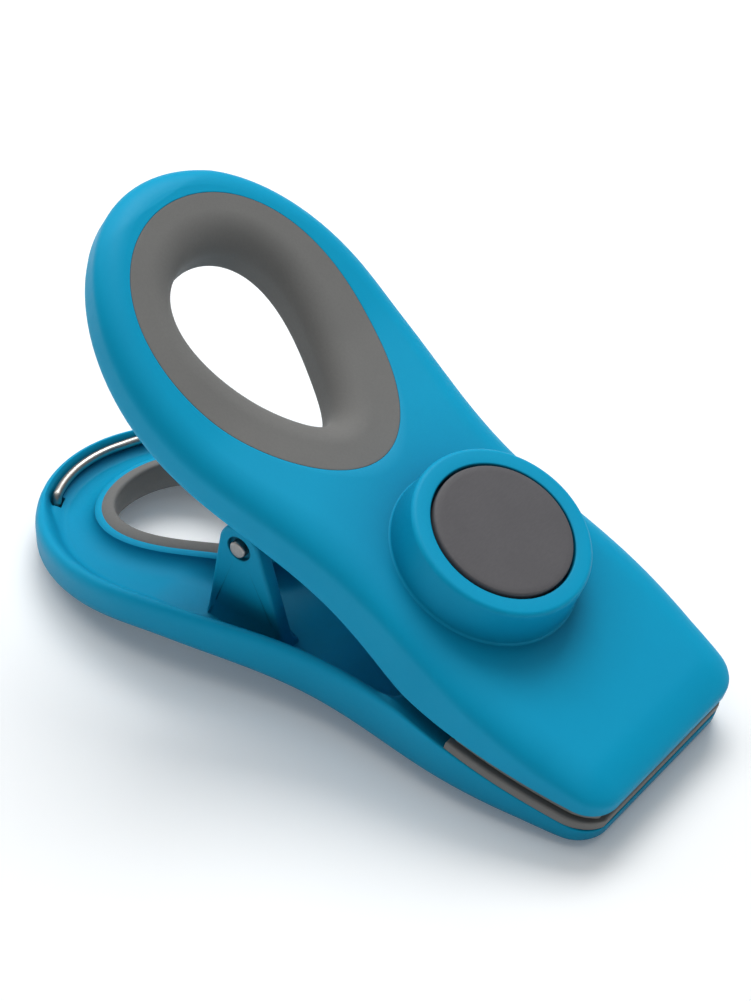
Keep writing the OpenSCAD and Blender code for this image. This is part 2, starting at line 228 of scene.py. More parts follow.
@dataclass(frozen=True)
class ClipForm:
    """Outline, profile and place of the two halves. Lengths are in millimetres and angles in degrees."""

    half_len: float
    handle_w: float
    pin_x: float
    pin_z: float
    tail_len: float = 28.0
    waist_w: float = 37.2
    waist_d: float = 42.0
    jaw_w: float = 39.6
    jaw_d: float = 21.5
    nose_w: float = 33.6
    corner_r: float = 5.0
    nose_h: float = 4.7
    close_angle: float = 15.3
    arch_h: float = 4.6
    bend_d: float = 69.8
    arch_blend: float = 0.9
    foot: float = 4.0
    wall_h: float = 6.9
    wall_rise: float = 0.068
    skin_t: float = 3.0
    handle_floor: float = 5.2
    pad_t: float = 1.4
    pad_gap: float = 0.08
    pad_len: float = 23.0
    around: int = 540

    @classmethod
    def from_frame(cls) -> "ClipForm":
        """The form, with its length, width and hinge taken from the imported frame."""
        low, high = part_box("lower_shell")
        pin_low, pin_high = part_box("hinge_pin")
        nose_h, close_angle = 4.7, 15.3
        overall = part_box("upper_shell")[1].x - low.x
        half_len = overall / MM - 2.0 * nose_h * math.sin(math.radians(close_angle))
        origin_d = (half_len - 2.0 * nose_h * math.sin(math.radians(close_angle))) / 2.0
        pin_x, pin_z = ((pin_low[k] + pin_high[k]) / 2.0 / MM for k in (0, 2))
        return cls(half_len=half_len, handle_w=(high.y - low.y) / MM, pin_x=pin_x - origin_d, pin_z=pin_z)

    @property
    def lean(self) -> float:
        """The closing angle in radians."""
        return math.radians(self.close_angle)

    @property
    def nose_d(self) -> float:
        """Where the closing plane leaves the nose, as a distance behind the nose's foot."""
        return -self.nose_h * math.sin(self.lean)

    @property
    def nose_z(self) -> float:
        """Height at which the closing plane leaves the nose."""
        return self.nose_h * math.cos(self.lean)

    @property
    def origin_d(self) -> float:
        """Distance of the part's origin behind the nose's foot."""
        return (self.half_len + 2.0 * self.nose_d) / 2.0

    @property
    def handle_d(self) -> float:
        """Distance of the widest part of the handle behind the nose."""
        return self.half_len - self.tail_len

    def side_w(self, d: Array) -> Array:
        """Half width behind the nose: a quarter sine, two half cosines and an ellipse, end to end."""
        d = np.asarray(d, float)

        def ease(a: float, b: float, t: Array) -> Array:
            return a + (b - a) * (1.0 - np.cos(math.pi * t)) / 2.0

        nose, jaw, waist, handle = (w / 2.0 for w in (self.nose_w, self.jaw_w, self.waist_w, self.handle_w))
        share = (d - self.nose_d) / (self.jaw_d - self.nose_d)
        quarter = nose + (jaw - nose) * np.sin(math.pi / 2.0 * share)
        to_waist = ease(jaw, waist, (d - self.jaw_d) / (self.waist_d - self.jaw_d))
        to_handle = ease(waist, handle, (d - self.waist_d) / (self.handle_d - self.waist_d))
        tail = handle * np.sqrt(np.clip(1.0 - ((d - self.handle_d) / self.tail_len) ** 2, 0.0, 1.0))
        ahead_of = [d < self.jaw_d, d < self.waist_d, d < self.handle_d]
        return np.select(ahead_of, [quarter, to_waist, to_handle], tail)

    def under(self, d: Array) -> Array:
        """Height of the outer face, an arch that stands on the nose's foot and the tail's.

        Two slopes a and b are joined as (a + b - sqrt((a - b)^2 + c^2)) / 2, and never go under 0.
        """
        d = np.asarray(d, float)
        back = self.half_len - self.foot
        a = (d - self.foot) * self.arch_h / (self.bend_d - self.foot)
        b = (back - d) * self.arch_h / (back - self.bend_d)
        return np.maximum(0.0, (a + b - np.sqrt((a - b) ** 2 + self.arch_blend ** 2)) / 2.0)

    def seat(self, d: Array) -> Array:
        """Height of the plane that the jaw pad is moulded on, parallel to the closing plane."""
        lift = self.nose_z - (self.pad_t + self.pad_gap) / math.cos(self.lean)
        return lift + (np.asarray(d, float) - self.nose_d) * math.tan(self.lean)

    def rim(self, d: Array) -> Array:
        """Height of the side wall's edge: the lower of the seat and the wall, which grows before the bend."""
        a, b = self.seat(d), self.under(d) + self.wall_h + self.wall_rise * np.maximum(0.0, self.bend_d - d)
        return (a + b - np.sqrt((a - b) ** 2 + 0.25)) / 2.0

    def outline(self) -> Array:
        """The plan outline as an anticlockwise closed curve from the middle of the nose, evenly spaced."""
        corner_d = self.nose_d + self.corner_r
        slope = float(self.side_w(corner_d + 0.5) - self.side_w(corner_d - 0.5))
        tilt = math.atan(slope)
        side_d0 = corner_d - self.corner_r * math.sin(tilt)
        corner_y = float(self.side_w(side_d0)) - self.corner_r * math.cos(tilt)
        bend = arc((-corner_d, corner_y), self.corner_r, 0.0, 90.0 - math.degrees(tilt), 40)
        d = np.linspace(side_d0, self.handle_d, 400)[1:]
        side = np.stack([-d, self.side_w(d)], axis=1)
        a = np.linspace(0.0, math.pi / 2.0, 300)[1:]
        back = self.handle_d + self.tail_len * np.sin(a)
        tail = np.stack([-back, self.handle_w / 2.0 * np.cos(a)], axis=1)
        tail[-1, 1] = 0.0
        left = evenly(np.concatenate([[[-self.nose_d, 0.0]], bend, side, tail]), self.around // 2 + 1)
        return np.concatenate([left, left[-2:0:-1] * [1.0, -1.0]])

    def spread(self) -> Array:
        """Angle round the finger hole that goes with each outline point: 0 at the nose, pi at the tail.

        With f as the share of the outline's length, the angle is pi (f / 4 + 3 f^2.2 / 4). It is mirrored
        past the tail.
        """
        f = np.linspace(0.0, 1.0, self.around // 2 + 1)
        left = math.pi * (0.25 * f + 0.75 * f ** 2.2)
        return np.concatenate([left, 2.0 * math.pi - left[-2:0:-1]])

    def egg(self, centre_d: float, a: float, b: float, skew: float, angle: Array) -> Array:
        """An egg-shaped closed curve: (a cos t, b sin t (1 - skew cos t)) about a point behind the nose."""
        width = b * np.sin(angle) * (1.0 - skew * np.cos(angle))
        return np.stack([-centre_d + a * np.cos(angle), width], axis=1)

    def nose_lean(self, points: Array) -> Array:
        """The points with the nose leaned back, so that its face is square to the closing plane."""
        share = 1.0 - smooth(-points[..., 0], 0.0, 12.0)
        shift = (self.nose_h * math.sin(self.lean) - points[..., 2] * math.tan(self.lean)) * share
        return points - np.stack([shift, np.zeros_like(shift), np.zeros_like(shift)], axis=-1)

    def place(self, points: Array, half: Half) -> Array:
        """Points of a half, in millimetres, moved to the part's frame, in metres.

        The upper half is the lower one turned half a turn about the middle line u of the closing plane, so a
        point q of it, measured from the nose, goes to 2 (q . u) u - q, and its y changes sign.
        """
        out = np.array(points, float)
        if half is Half.UPPER:
            u = np.array([math.cos(self.lean), -math.sin(self.lean)])
            q = np.stack([out[..., 0] + self.nose_d, out[..., 2] - self.nose_z], axis=-1)
            r = 2.0 * (q @ u)[..., None] * u - q
            out = np.stack([r[..., 0] - self.nose_d, -out[..., 1], r[..., 1] + self.nose_z], axis=-1)
        out[..., 0] += self.origin_d
        return out * MM


# ---------------------------------------------------------------------------------------------------------
# finishes
# ---------------------------------------------------------------------------------------------------------

def linear(code: str) -> tuple[float, float, float, float]:
    """A linear colour from an sRGB hex code such as "#1A93C2"."""
    values = [int(code[k:k + 2], 16) / 255.0 for k in (1, 3, 5)]
    r, g, b = (v / 12.92 if v <= 0.04045 else ((v + 0.055) / 1.055) ** 2.4 for v in values)
    return (r, g, b, 1.0)


def add_node(tree: bpy.types.NodeTree, kind: str, settings: dict[str, Any] | None = None,
             inputs: dict[Any, Any] | None = None) -> bpy.types.Node:
    """Adds a node, with its settings and its inputs.

    Args:
        tree: The node tree to add to.
        kind: The node's type, such as "ShaderNodeTexNoise".
        settings: Values of the node's own properties.
        inputs: For each input's name or number, a value or the socket that feeds it.

    Returns:
        The node.
    """
    node = tree.nodes.new(kind)
    for name, value in (settings or {}).items():
        setattr(node, name, value)
    for name, value in (inputs or {}).items():
        if isinstance(value, Socket):
            tree.links.new(value, node.inputs[name])
        else:
            node.inputs[name].default_value = value
    return node


@dataclass(frozen=True)
class Mottle:
    """A fine variation of colour, roughness and height, with its grain in millimetres."""

    grain: float
    colour: float
    rough: float
    height: float
    stretch: tuple[float, float, float] = (1.0, 1.0, 1.0)


@dataclass(frozen=True)
class Finish:
    """What a surface is made of and how it was made: a name, a colour, a gloss and what breaks them up, and
    any painted shade in its hollows.
    """

    name: str
    colour: str
    accent: str
    roughness: float
    metallic: float = 0.0
    subsurface: float = 0.0
    sheen: float = 0.0
    specular: float = 0.5
    # painted shade: how far the colour darkens where ambient occlusion is low, how far it looks, and how dark
    # the shade colour is
    painted_shade_strength: float = 0.0
    painted_shade_reach: float = 12.0
    painted_shade_tone: float = 0.35
    coarse: Mottle = field(default_factory=lambda: Mottle(9.0, 0.3, 0.03, 0.0))
    fine: Mottle = field(default_factory=lambda: Mottle(0.5, 0.1, 0.03, 0.02))

    def build(self) -> bpy.types.Material:
        """The finish as a procedural material: two sizes of noise steer its colour, roughness and bump, and
        ambient occlusion paints shade into its colour when asked.
        """
        material = bpy.data.materials.new(self.name)
        material.use_nodes = True
        tree = material.node_tree
        tree.nodes.clear()
        place = add_node(tree, "ShaderNodeTexCoord").outputs["Object"]
        coarse = self.noise(tree, place, self.coarse)
        fine = self.noise(tree, place, self.fine)
        broad = add_node(tree, "ShaderNodeMix", {"data_type": "RGBA"},
                         {0: self.ramp(tree, coarse, 0.0, self.coarse.colour), 6: linear(self.colour),
                          7: linear(self.accent)}).outputs[2]
        base = add_node(tree, "ShaderNodeMix", {"data_type": "RGBA"},
                        {0: self.ramp(tree, fine, 0.0, self.fine.colour), 6: broad,
                         7: linear(self.accent)}).outputs[2]
        # painted shade in hollows and under overhangs, from ambient occlusion
        if self.painted_shade_strength > 0.0:
            base = self.painted_recess_shade(tree, base)
        low, high = self.roughness - self.coarse.rough, self.roughness + self.coarse.rough
        rough_a = self.ramp(tree, coarse, low, high)
        rough_b = self.ramp(tree, fine, -self.fine.rough, self.fine.rough)
        rough = add_node(tree, "ShaderNodeMath", {"operation": "ADD"}, {0: rough_a, 1: rough_b}).outputs[0]
        bump_a = add_node(tree, "ShaderNodeBump", inputs={
            "Strength": 1.0, "Distance": self.coarse.height * MM, "Height": coarse}).outputs["Normal"]
        bump = add_node(tree, "ShaderNodeBump", inputs={
            "Strength": 1.0, "Distance": self.fine.height * MM, "Height": fine,
            "Normal": bump_a}).outputs["Normal"]
        shader = add_node(tree, "ShaderNodeBsdfPrincipled", {"subsurface_method": "RANDOM_WALK"}, {
            "Base Color": base, "Roughness": rough, "Normal": bump, "Metallic": self.metallic,
            "Sheen Weight": self.sheen, "Sheen Roughness": 0.5, "Subsurface Weight": self.subsurface,
            "Subsurface Scale": 1.2 * MM, "Specular IOR Level": self.specular})
        add_node(tree, "ShaderNodeOutputMaterial", inputs={"Surface": shader.outputs[0]})
        return material

    def painted_recess_shade(self, tree: bpy.types.NodeTree, base: Socket) -> Socket:
        """Painted shade: the base colour, pulled towards a darker shade of the accent where ambient occlusion
        finds little of the sky.
        """
        sky = add_node(tree, "ShaderNodeAmbientOcclusion", {"samples": 8},
                       {"Distance": self.painted_shade_reach * MM}).outputs["AO"]
        depth = add_node(tree, "ShaderNodeMapRange", inputs={0: sky, 1: 0.3, 2: 1.0, 3: self.painted_shade_strength, 4: 0.0})
        dark = tuple(c * self.painted_shade_tone for c in linear(self.accent)[:3]) + (1.0,)
        return add_node(tree, "ShaderNodeMix", {"data_type": "RGBA"},
                        {0: depth.outputs[0], 6: base, 7: dark}).outputs[2]

    @staticmethod
    def noise(tree: bpy.types.NodeTree, place: Socket, mottle: Mottle) -> Socket:
        """A noise whose grain is the mottle's, in metres of the object's own frame."""
        mapped = add_node(tree, "ShaderNodeMapping", inputs={"Vector": place, "Scale": mottle.stretch})
        texture = add_node(tree, "ShaderNodeTexNoise", inputs={
            "Vector": mapped.outputs[0], "Scale": 1.0 / (mottle.grain * MM), "Detail": 3.0,
            "Roughness": 0.55})
        return texture.outputs[0]

    @staticmethod
    def ramp(tree: bpy.types.NodeTree, source: Socket, low: float, high: float) -> Socket:
        """The noise's middle range, from 0.3 to 0.7, spread over low to high."""
        spread = add_node(tree, "ShaderNodeMapRange", inputs={0: source, 1: 0.3, 2: 0.7, 3: low, 4: high})
        return spread.outputs[0]


# Polypropylene, moulded against a polished tool: a satin skin with a soft gloss and a faint flow mottle; its
# colour also gets painted shade in hollows and under overhangs.
SHELL_PLASTIC = Finish("moulded_polypropylene_blue", "#04A5D1", "#039DCA", 0.48, specular=0.115,
                       subsurface=0.03, painted_shade_strength=0.85, coarse=Mottle(14.0, 0.5, 0.03, 0.0),
                       fine=Mottle(0.6, 0.15, 0.03, 0.004))
# Thermoplastic rubber, moulded against a spark-eroded tool: matte, with a fine even grain.
GRIP_RUBBER = Finish("moulded_thermoplastic_rubber_grey", "#7A7A78", "#717170", 0.66, sheen=0.03,
                     specular=0.25, coarse=Mottle(11.0, 0.4, 0.04, 0.0), fine=Mottle(0.35, 0.35, 0.05, 0.012))
# Strontium ferrite, pressed, sintered and ground flat: dark grey, fine-grained, with a dull metallic sheen.
FERRITE = Finish("sintered_ferrite_ground", "#656467", "#5D5C5F", 0.5, specular=0.15,
                 coarse=Mottle(6.0, 0.5, 0.04, 0.0), fine=Mottle(0.22, 0.5, 0.08, 0.01, (1.0, 0.25, 1.0)))
# Cured epoxy: a pale amber film that hardly shows round the magnet.
EPOXY = Finish("cured_epoxy", "#C9BE8E", "#B5A974", 0.3, fine=Mottle(0.8, 0.3, 0.05, 0.02))
# Steel rod, drawn and cropped: bright, with fine scratches along it.
PIN_STEEL = Finish("drawn_steel_rod", "#A5A2A0", "#8E8B89", 0.34, metallic=1.0,
                   fine=Mottle(0.3, 0.5, 0.08, 0.006, (1.0, 0.15, 1.0)))
# Nickel-plated music wire: mirror-bright, slightly broken up by the drawing die.
SPRING_WIRE = Finish("nickel_plated_spring_wire", "#B4B1AC", "#9B9894", 0.33, metallic=1.0,
                     fine=Mottle(0.25, 0.35, 0.06, 0.004))


# ---------------------------------------------------------------------------------------------------------
# making pieces
# ---------------------------------------------------------------------------------------------------------

def make_piece(name: str, parts: Sequence[Part], finish: bpy.types.Material, crease: float = 35.0
               ) -> bpy.types.Object:
    """One mesh object at the origin from closed parts, smooth except at its creases.

    Args:
        name: The piece's name.
        parts: Points in metres and quads of each closed part.
        finish: The material.
        crease: Angle in degrees over which an edge stays sharp.

    Returns:
        The object, with nothing to ride on yet.
    """
    starts = np.cumsum([0] + [len(points) for points, _ in parts])[:-1]
    points = np.concatenate([points for points, _ in parts])
    quads = np.concatenate([quads + start for (_, quads), start in zip(parts, starts)])
    mesh = bpy.data.meshes.new(name)
    mesh.vertices.add(len(points))
    mesh.vertices.foreach_set("co", points.astype(np.float32).ravel())
    mesh.loops.add(quads.size)
    mesh.loops.foreach_set("vertex_index", quads.astype(np.int32).ravel())
    mesh.polygons.add(len(quads))
    mesh.polygons.foreach_set("loop_start", np.arange(0, quads.size, 4, dtype=np.int32))
    mesh.polygons.foreach_set("use_smooth", np.ones(len(quads), bool))
    mesh.update(calc_edges=True)
    mesh.validate()
    mesh.set_sharp_from_angle(angle=math.radians(crease))
    mesh.materials.append(finish)
    piece = bpy.data.objects.new(name, mesh)
    bpy.context.scene.collection.objects.link(piece)
    return piece


def settle(piece: bpy.types.Object, half: Half, node: str) -> None:
    """Lets the piece ride on its half's body, stand for its CAD node, and says so in the log."""
    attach(piece, half.value)
    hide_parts(node)
    LOG.info("%s: %d faces, rides on %s", piece.name, len(piece.data.polygons), half.value)


@dataclass
class FingerHole:
    """The eggs that bound the finger hole, its soft ring and the hard collar round it."""

    flange_d: float = 76.4
    hole_d: float = 77.1
    hole_a: float = 14.4
    hole_b: float = 8.9
    hole_skew: float = 0.37
    flange_a: float = 22.3
    flange_b: float = 17.2
    flange_skew: float = 0.14
    flange_t: float = 2.2
    sleeve_t: float = 1.5
    collar_t: float = 1.5
    collar_h: float = 6.4
    lip_h: float = 0.5

    def ring(self, form: ClipForm, outside: float) -> Array:
        """The hole's egg, grown along its normals by outside."""
        egg = form.egg(self.hole_d, self.hole_a, self.hole_b, self.hole_skew, form.spread())
        return offset(egg, outside)

    def flange(self, form: ClipForm) -> Array:
        """The flange's egg."""
        return form.egg(self.flange_d, self.flange_a, self.flange_b, self.flange_skew, form.spread())


@dataclass
class HalfShell:
    """One hard half: a dished body round its finger hole, a pair of lugs and, on the upper half, a boss.

    A pair of numbers gives where a change starts and where it ends, behind the nose or off the middle.
    """

    form: ClipForm
    hole: FingerHole
    half: Half
    lug_y: float
    lug_t: float = 2.4
    lug_edge_r: float = 0.5
    eye_r: float = 3.5
    lug_front: float = 8.0
    lug_back: float = 6.4
    foot_run: float = 1.8
    foot_flare: float = 1.0
    bore_r: float = 1.3
    relief_gap: float = 0.6
    relief_depth: float = 0.7
    edge_run: float = 5.4
    edge_run_nose: float = 3.8
    edge_grows: tuple[float, float] = (46.0, 74.0)
    edge_drop: float = 2.8
    edge_band: float = 3.6
    rim_r: float = 1.0
    rim_drop: float = 1.7
    rim_nose: float = 0.35
    rim_grows: tuple[float, float] = (22.0, 46.0)
    slope_start: float = 1.05
    slope_end: float = 2.1
    slope_soft: float = 1.6
    soft_side: tuple[float, float] = (8.5, 14.0)
    slope_band: float = 3.9
    dish_start: float = 4.1
    gutter: float = 1.0
    gutter_grows: tuple[float, float] = (60.0, 74.0)
    block_ends: tuple[float, float] = (29.6, 33.6)
    fillet: float = 3.4
    collar_r: float = 0.7
    shoulder: float = 0.15
    face_rows: int = 40
    dish_rows: int = 48
    slot_angle: float = 21.0
    slot_inset: float = 2.55
    slot_depth: float = 2.2

    def lifted(self, plan: Array, height: Array) -> Array:
        """A row of points over a plan curve, at a height over the outer face, with the nose leaned back."""
        z = self.form.under(-plan[:, 0]) + height
        return self.form.nose_lean(np.column_stack([plan, z]))

    def edge(self, d: Array, inside: Array) -> Array:
        """Rise of the rounded outer edge at a distance inside the outline: less at the thin nose."""
        thick = self.form.rim(d) - self.form.under(d)
        run = self.edge_run_nose + (self.edge_run - self.edge_run_nose) * (1.0 - smooth(d, *self.edge_grows))
        return quarter_drop(inside, run, np.minimum(self.edge_drop, 0.5 * thick))

    def inner_height(self, plan: Array, inside: Array, from_collar: Array) -> Array:
        """Height of the dished inner face over the outer face.

        It is the wall's height at the rim, falls in an S to the floor, dips a little in the middle of the
        gutter, and rises in a quarter-round fillet to the collar. In front of the dish it is the pad's seat.
        """
        form = self.form
        d = -plan[:, 0]
        thicker = smooth(d, form.bend_d - 8.0, form.bend_d + 3.0)
        floor = form.skin_t + (form.handle_floor - form.skin_t) * thicker
        rim = form.rim(d) - form.under(d)
        end = self.slope_end + self.slope_soft * smooth(-plan[:, 1], *self.soft_side)
        wall = 1.0 - smooth((inside - self.slope_start) / (end - self.slope_start), 0.0, 1.0)
        dip = self.gutter * smooth(inside, self.slope_end, self.slope_end + 2.5)
        dip = dip * smooth(d, *self.gutter_grows)
        collar = quarter_drop(from_collar, self.fillet, self.hole.collar_h - floor + dip)
        dish = floor + (rim - floor) * wall - dip + collar
        block = 1.0 - smooth(d, *self.block_ends)
        return (dish - self.slot(plan)) * (1.0 - block) + (form.seat(d) - form.under(d)) * block

    def slot(self, plan: Array) -> Array:
        """Depth of the slot that takes the wire's end: a box with slightly rounded sides, along the wire."""
        angle = math.radians(-self.slot_angle)
        a, b = self.form.tail_len - self.slot_inset, self.form.handle_w / 2.0 - self.slot_inset
        tip = np.array([-self.form.handle_d - a * math.cos(angle), b * math.sin(angle)])
        run = np.array([-a * math.sin(angle), -b * math.cos(angle)])
        run = run / np.linalg.norm(run)
        along = (plan - tip) @ run
        across = np.abs((plan - tip) @ np.array([-run[1], run[0]]))
        inside = smooth(along, -0.5, -0.3) * (1.0 - smooth(along, 1.35, 1.5))
        return self.slot_depth * inside * (1.0 - smooth(across, 0.72, 0.86))

    def body(self) -> Part:
        """The body as closed curves round its section: outer face, edge, wall, rim, dish and collar."""
        form, hole = self.form, self.hole
        outline = form.outline()
        d0 = -outline[:, 0]
        sleeve, collar = hole.ring(form, hole.sleeve_t), hole.ring(form, hole.sleeve_t + hole.collar_t)
        flange = hole.flange(form)
        rows: list[Array] = []

        def between(inner: Array, outer: Array, shares: Array) -> list[Array]:
            return [inner + (outer - inner) * s for s in shares]

        def level(height: float) -> Array:
            return np.full(len(outline), height)

        # recess floor and recess wall, under the soft flange
        rows += [self.lifted(plan, level(hole.flange_t)) for plan in between(sleeve, flange, (0.0, 0.5))]
        rows += [self.lifted(flange, level(h)) for h in (hole.flange_t, 1.0, 0.12)]
        # outer face, from the flange to the start of the edge
        rows.append(self.lifted(offset(flange, 0.03), level(0.03)))
        shares = np.linspace(0.0, 1.0, self.face_rows) ** 0.9
        for plan in between(offset(flange, 0.12), offset(outline, -self.edge_band), shares):
            rows.append(self.lifted(plan, self.edge(-plan[:, 0], nearest(plan, outline))))
        # rounded edge, wall and rim
        for inside in self.edge_band * (1.0 - np.sin(np.radians(np.linspace(8.0, 90.0, 12)))):
            plan = offset(outline, -inside)
            rows.append(self.lifted(plan, self.edge(-plan[:, 0], level(inside))))
        low = self.edge(d0, level(0.0))
        rim = form.rim(d0) - form.under(d0)
        soft = smooth(d0, *self.rim_grows)
        rim_r = self.rim_nose + (self.rim_r - self.rim_nose) * soft
        rim_drop = self.rim_nose + (self.rim_drop - self.rim_nose) * soft
        for s in (0.25, 0.5, 0.75, 1.0):
            rows.append(self.lifted(outline, low + (rim - rim_drop - low) * s))
        for a in np.radians((15.0, 30.0, 45.0, 60.0, 75.0, 90.0)):
            plan = outline - (rim_r * (1.0 - math.cos(a)))[:, None] * outward(outline)
            rows.append(self.lifted(plan, rim - rim_drop * (1.0 - math.sin(a))))
        # inner slope, dish and collar
        far = level(2.0 * form.handle_w)
        for inside in np.linspace(self.slope_start, self.slope_band, 13):
            plan = offset(outline, -inside)
            rows.append(self.lifted(plan, self.inner_height(plan, level(inside), far)))
        foot = offset(collar, self.fillet)
        shares = np.linspace(0.0, 1.0, self.dish_rows)[:-1]
        for plan in between(offset(outline, -self.dish_start), foot, shares):
            height = self.inner_height(plan, nearest(plan, outline), nearest(plan, collar))
            rows.append(self.lifted(plan, height))
        for share in np.sin(np.radians(np.linspace(90.0, 4.0, 12))):
            out = self.fillet * (1.0 - math.sqrt(max(0.0, 1.0 - share ** 2)))
            plan = offset(collar, out)
            rows.append(self.lifted(plan, self.inner_height(plan, nearest(plan, outline), level(out))))
        top = level(hole.collar_h)
        for a in np.radians((30.0, 60.0, 90.0)):
            inner = offset(collar, -self.collar_r * math.sin(a))
            rows.append(self.lifted(inner, top + self.shoulder * math.sin(a)))
        rows += [self.lifted(sleeve, top), self.lifted(sleeve, top * 0.5)]
        return lofted(form.place(np.stack(rows), self.half), ring=True)

    def lug_outline(self, count: int) -> Array:
        """A lug's side view, as (count, 2) of x and z: its eye's arc and two tangents down to its foot."""
        form = self.form
        eye = np.array([form.pin_x, form.pin_z])
        foot_z = float(form.under(-form.pin_x)) + form.skin_t / 2.0
        front = np.array([eye[0] + self.lug_front, foot_z])
        back = np.array([eye[0] - self.lug_back, foot_z])

        def touch_angle(p: Array, sign: float) -> float:
            v = p - eye
            return math.degrees(math.atan2(v[1], v[0]) + sign * math.acos(self.eye_r / np.linalg.norm(v)))

        start, end = touch_angle(front, 1.0), touch_angle(back, -1.0) + 360.0
        top = arc((eye[0], eye[1]), self.eye_r, start, end, 60)
        line = evenly(np.concatenate([[front], top, [back], [front]]), count + 1)
        return line[:-1]

    def lug(self, side: float) -> Part:
        """A lug: rounded edges, a bore, a relief on its outer face and a foot that flares into the dish."""
        form = self.form
        outline = self.lug_outline(144)
        eye = np.array([form.pin_x, form.pin_z])
        turn = np.arctan2(outline[:, 1] - eye[1], outline[:, 0] - eye[0])
        circle = np.stack([np.cos(turn), np.sin(turn)], axis=1)
        half_t, edge_r = self.lug_t / 2.0, self.lug_edge_r
        inner = offset(outline, -edge_r)
        floor = form.under(-form.pin_x) + form.skin_t
        rows: list[Array] = []

        def row(plan: Array, y: float) -> Array:
            above = np.maximum(plan[:, 1] - floor, 0.0)
            flare = quarter_drop(above, self.foot_run, self.foot_flare)
            offset_y = (y + math.copysign(1.0, y) * flare) if y else np.zeros(len(plan))
            return np.stack([plan[:, 0], side * (self.lug_y - half_t + offset_y), plan[:, 1]], axis=1)

        relief = self.bore_r + self.relief_gap if self.half is Half.LOWER else self.bore_r + 0.15
        depth = self.relief_depth if self.half is Half.LOWER else 0.15
        rows += [row(eye + self.bore_r * circle, y) for y in (-half_t, 0.0, half_t - depth)]
        rows += [row(eye + relief * circle, half_t - depth), row(eye + relief * circle, half_t - 0.1),
                 row(eye + (relief + 0.1) * circle, half_t)]
        start = eye + (relief + 0.1) * circle
        rows += [row(start + (inner - start) * s, half_t) for s in np.linspace(0.12, 1.0, 10)]
        for a in np.radians((30.0, 60.0, 90.0)):
            rows.append(row(offset(inner, edge_r * math.sin(a)), half_t - edge_r * (1.0 - math.cos(a))))
        for a in np.radians((90.0, 60.0, 30.0, 0.0)):
            rows.append(row(offset(inner, edge_r * math.sin(a)), -half_t + edge_r * (1.0 - math.cos(a))))
        start = eye + (self.bore_r + 0.1) * circle
        rows += [row(inner + (start - inner) * s, -half_t) for s in np.linspace(0.12, 1.0, 10)]
        return lofted(form.place(np.stack(rows), self.half), ring=True)

    def parts(self) -> list[Part]:
        """Every closed part of this half's moulding."""
        return [self.body(), self.lug(1.0), self.lug(-1.0)]

    def build(self, finish: bpy.types.Material) -> bpy.types.Object:
        """The half as one piece that rides on its body."""
        piece = make_piece(f"{self.half.value}_half_moulding", self.parts(), finish)
        settle(piece, self.half, f"{self.half.value}_shell")
        return piece


@dataclass
class MagnetBoss:
    """The boss on the upper half, with the magnet in its pocket."""

    form: ClipForm
    boss_d: float = 35.2
    boss_h: float = 6.5
    draft: float = 0.5
    rim: float = 2.67
    magnet_r: float = 10.0
    magnet_t: float = 3.0
    glue_t: float = 0.2
    gap: float = 0.38
    proud: float = 0.3
    foot_r: float = 0.45
    top_r: float = 0.75
    inner_r: float = 0.25
    root: float = 1.4
    chamfer: float = 0.3
    around: int = 192

    def place(self, rows: Array) -> Array:
        """Rows in the boss's own frame, z outwards, moved to the part's frame in metres."""
        form = self.form
        slope = math.atan(form.arch_h / (form.bend_d - form.foot))
        base = np.array([-self.boss_d * math.cos(slope), 0.0, (self.boss_d - form.foot) * math.sin(slope)])
        out = np.array([-math.sin(slope), 0.0, -math.cos(slope)])
        along = np.array([-math.cos(slope), 0.0, math.sin(slope)])
        across = np.array([0.0, 1.0, 0.0])
        points = base + rows[..., 0:1] * along + rows[..., 1:2] * across + rows[..., 2:3] * out
        return form.place(points, Half.UPPER)

    def part(self, profile: Array) -> Part:
        """A closed turned part whose profile starts and ends on the axis."""
        return lofted(self.place(revolved(profile, self.around)), ring=False)

    def moulding(self) -> Part:
        """The boss: a pocket, a rounded rim, a drafted wall, a fillet and a root inside the shell."""
        outer = self.magnet_r + self.gap + self.rim
        pocket = self.magnet_r + self.gap
        floor = self.boss_h + self.proud - self.magnet_t - self.glue_t
        tilt = math.degrees(math.atan(self.draft / self.boss_h))
        foot = outer + self.draft + self.foot_r
        profile = np.concatenate([
            [[AXIS_R, floor], [pocket * 0.5, floor], [pocket, floor], [pocket, (floor + self.boss_h) / 2.0]],
            arc((pocket + self.inner_r, self.boss_h - self.inner_r), self.inner_r, 180.0, 90.0, 7),
            arc((outer - self.top_r, self.boss_h - self.top_r), self.top_r, 90.0, tilt, 10),
            arc((foot, self.foot_r), self.foot_r, 180.0 + tilt, 248.0, 10),
            [[foot + 0.6, -0.29], [foot, -self.root], [AXIS_R, -self.root]]])
        return self.part(profile)

    def disc(self) -> Part:
        """The magnet: a flat disc with a small ground chamfer."""
        top, r, cut = self.boss_h + self.proud, self.magnet_r, self.chamfer
        low = top - self.magnet_t
        steps = np.linspace(AXIS_R, r - cut, 14)
        profile = np.concatenate([np.stack([steps, np.full(14, top)], axis=1),
                                  [[r - cut * 0.35, top - cut * 0.25], [r, top - cut], [r, low + cut],
                                   [r - cut, low], [AXIS_R, low]]])
        return self.part(profile)

    def build(self, finish: bpy.types.Material) -> bpy.types.Object:
        """The magnet as a piece of its own."""
        piece = make_piece("ferrite_magnet_disc", [self.disc()], finish, crease=50.0)
        settle(piece, Half.UPPER, "magnet")
        return piece


@dataclass
class UpperShell(HalfShell):
    """The upper half, which carries the boss."""

    boss: MagnetBoss | None = None

    def parts(self) -> list[Part]:
        """The half's own parts and the boss."""
        return super().parts() + ([self.boss.moulding()] if self.boss else [])


